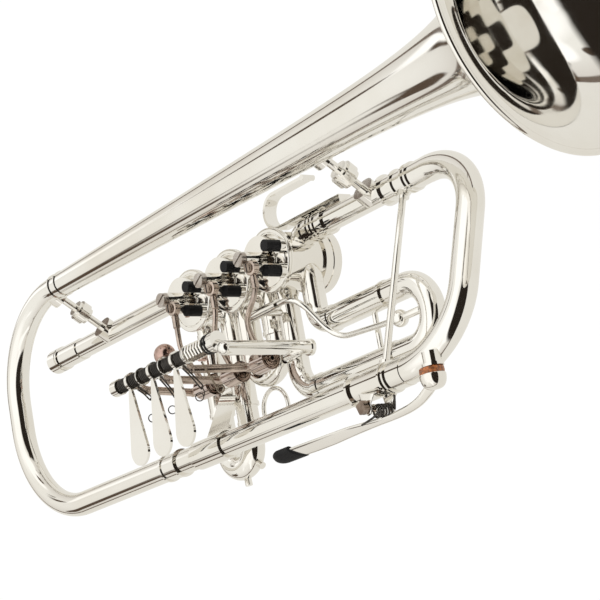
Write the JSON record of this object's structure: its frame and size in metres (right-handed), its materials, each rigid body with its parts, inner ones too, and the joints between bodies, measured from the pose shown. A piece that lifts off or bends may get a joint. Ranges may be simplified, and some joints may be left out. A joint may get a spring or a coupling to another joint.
{
  "type": "rotary valve trumpet",
  "caption": "Silver-plated trumpet with rotary valves worked by finger levers through ball-jointed rods, pull slides, a sprung water key and a flared bell.",
  "frame": {"origin": "middle of the mouthpiece receiver's mouth, on the leadpipe's axis", "axes": "+X along the leadpipe towards the bell's mouth, +Y across the loop from the leadpipe towards the bell, +Z out of the lever side, which faces up when the trumpet lies flat"},
  "size_m": [0.482, 0.2152, 0.137],
  "materials": {
    "silver_plate": "polished silver plate",
    "bare_rotor": "polished nickel silver, slightly warm",
    "spring_steel": "blackened spring steel",
    "bumper_rubber": "matt black rubber",
    "key_cork": "amber cork"
  },
  "bodies": {
    "horn": {"bell": "silver_plate", "bell_bow": "silver_plate", "lower_tube": "silver_plate", "main_ferrules": "silver_plate", "leadpipe": "silver_plate", "mouthpiece_receiver": "silver_plate", "upper_leg": "silver_plate", "rear_brace": "silver_plate", "front_brace": "silver_plate", "lower_brace": "silver_plate", "finger_hook": "silver_plate", "valve_1_casing": "silver_plate", "valve_2_casing": "silver_plate", "valve_3_casing": "silver_plate", "valve_links": "silver_plate", "bearing_plates": "silver_plate", "rear_caps": "silver_plate", "bumper_cups": "silver_plate", "stop_bumpers": "bumper_rubber", "lever_spring_1": "spring_steel", "lever_spring_2": "spring_steel", "lever_spring_3": "spring_steel", "lever_axle": "silver_plate", "axle_bracket": "silver_plate", "axle_end_spring": "silver_plate", "rest_ball": "silver_plate", "first_slide_sleeves": "silver_plate", "second_slide_sleeves": "silver_plate", "third_slide_tubes": "silver_plate", "trigger_guide": "silver_plate"},
    "rotor_1": {"rotor_1": "bare_rotor", "stop_arm_1": "silver_plate", "stop_screw_1": "silver_plate"},
    "rod_1": {"link_rod_1": "bare_rotor"},
    "lever_1": {"lever_1": "silver_plate"},
    "rotor_2": {"rotor_2": "bare_rotor", "stop_arm_2": "silver_plate", "stop_screw_2": "silver_plate"},
    "rod_2": {"link_rod_2": "bare_rotor"},
    "lever_2": {"lever_2": "silver_plate"},
    "rotor_3": {"rotor_3": "bare_rotor", "stop_arm_3": "silver_plate", "stop_screw_3": "silver_plate"},
    "rod_3": {"link_rod_3": "bare_rotor"},
    "lever_3": {"lever_3": "silver_plate"},
    "tuning_slide": {"tuning_bow": "silver_plate", "tuning_sleeves": "silver_plate", "tuning_brace": "silver_plate", "water_key_seat": "silver_plate", "water_key_post": "silver_plate", "water_key_screw": "spring_steel", "water_key_spring": "spring_steel"},
    "water_key": {"water_key_lever": "silver_plate", "water_key_cork": "key_cork", "water_key_tip": "bumper_rubber"},
    "first_slide": {"first_slide_crook": "silver_plate"},
    "second_slide": {"second_slide_crook": "silver_plate", "second_slide_ring": "silver_plate"},
    "third_slide": {"third_slide_crook": "silver_plate", "trigger_rod": "silver_plate"}
  },
  "joints": [
    {"name": "valve_1_lever", "type": "hinge", "parent": "horn", "child": "lever_1", "pos_m": [0.1629, -0.0546, 0.06], "axis": [1, 0, 0], "range_deg": [0, 19.36], "stiffness_Nm_per_rad": 0.12, "springref_deg": -17.19},
    {"name": "valve_2_lever", "type": "hinge", "parent": "horn", "child": "lever_2", "pos_m": [0.1841, -0.0546, 0.06], "axis": [1, 0, 0], "range_deg": [0, 19.36], "stiffness_Nm_per_rad": 0.12, "springref_deg": -17.19},
    {"name": "valve_3_lever", "type": "hinge", "parent": "horn", "child": "lever_3", "pos_m": [0.2053, -0.0546, 0.06], "axis": [1, 0, 0], "range_deg": [0, 19.36], "stiffness_Nm_per_rad": 0.12, "springref_deg": -17.19},
    {"name": "valve_1_rotor", "type": "hinge", "parent": "horn", "child": "rotor_1", "pos_m": [0.1675, -0.0112, 0], "axis": [0, 0, 1], "range_deg": [0, 90.2]},
    {"name": "valve_1_rod", "type": "hinge", "parent": "rotor_1", "child": "rod_1", "pos_m": [0.174, -0.0177, 0.0336], "axis": [0, 0, 1], "range_deg": [-90.2, 0]},
    {"name": "valve_2_rotor", "type": "hinge", "parent": "horn", "child": "rotor_2", "pos_m": [0.2035, -0.0112, 0], "axis": [0, 0, 1], "range_deg": [0, 90.2]},
    {"name": "valve_2_rod", "type": "hinge", "parent": "rotor_2", "child": "rod_2", "pos_m": [0.21, -0.0177, 0.0336], "axis": [0, 0, 1], "range_deg": [-90.2, 0]},
    {"name": "valve_3_rotor", "type": "hinge", "parent": "horn", "child": "rotor_3", "pos_m": [0.2395, -0.0112, 0], "axis": [0, 0, 1], "range_deg": [0, 90.2]},
    {"name": "valve_3_rod", "type": "hinge", "parent": "rotor_3", "child": "rod_3", "pos_m": [0.24601, -0.0177, 0.0336], "axis": [0, 0, 1], "range_deg": [-90.2, 0]},
    {"name": "tuning_slide_pull", "type": "slide", "parent": "horn", "child": "tuning_slide", "axis": [1, 0, 0], "range_m": [0, 0.022]},
    {"name": "water_key_hinge", "type": "hinge", "parent": "tuning_slide", "child": "water_key", "pos_m": [0.326, -0.112, 0.0376], "axis": [0, 0, 1], "range_deg": [-5, 0], "stiffness_Nm_per_rad": 0.1, "springref_deg": 22.92},
    {"name": "first_slide_pull", "type": "slide", "parent": "horn", "child": "first_slide", "axis": [0, -1, 0], "range_m": [0, 0.015]},
    {"name": "second_slide_pull", "type": "slide", "parent": "horn", "child": "second_slide", "axis": [0, -1, 0], "range_m": [0, 0.008]},
    {"name": "third_slide_pull", "type": "slide", "parent": "horn", "child": "third_slide", "axis": [1, 0, 0], "range_m": [0, 0.015]}
  ],
  "couplings": [
    {"joint": "valve_1_rotor", "follows": "valve_1_lever", "ratio": 4.6488},
    {"joint": "valve_1_rod", "follows": "valve_1_lever", "ratio": -4.6488},
    {"joint": "valve_2_rotor", "follows": "valve_2_lever", "ratio": 4.6488},
    {"joint": "valve_2_rod", "follows": "valve_2_lever", "ratio": -4.6488},
    {"joint": "valve_3_rotor", "follows": "valve_3_lever", "ratio": 4.6488},
    {"joint": "valve_3_rod", "follows": "valve_3_lever", "ratio": -4.6488}
  ]
}
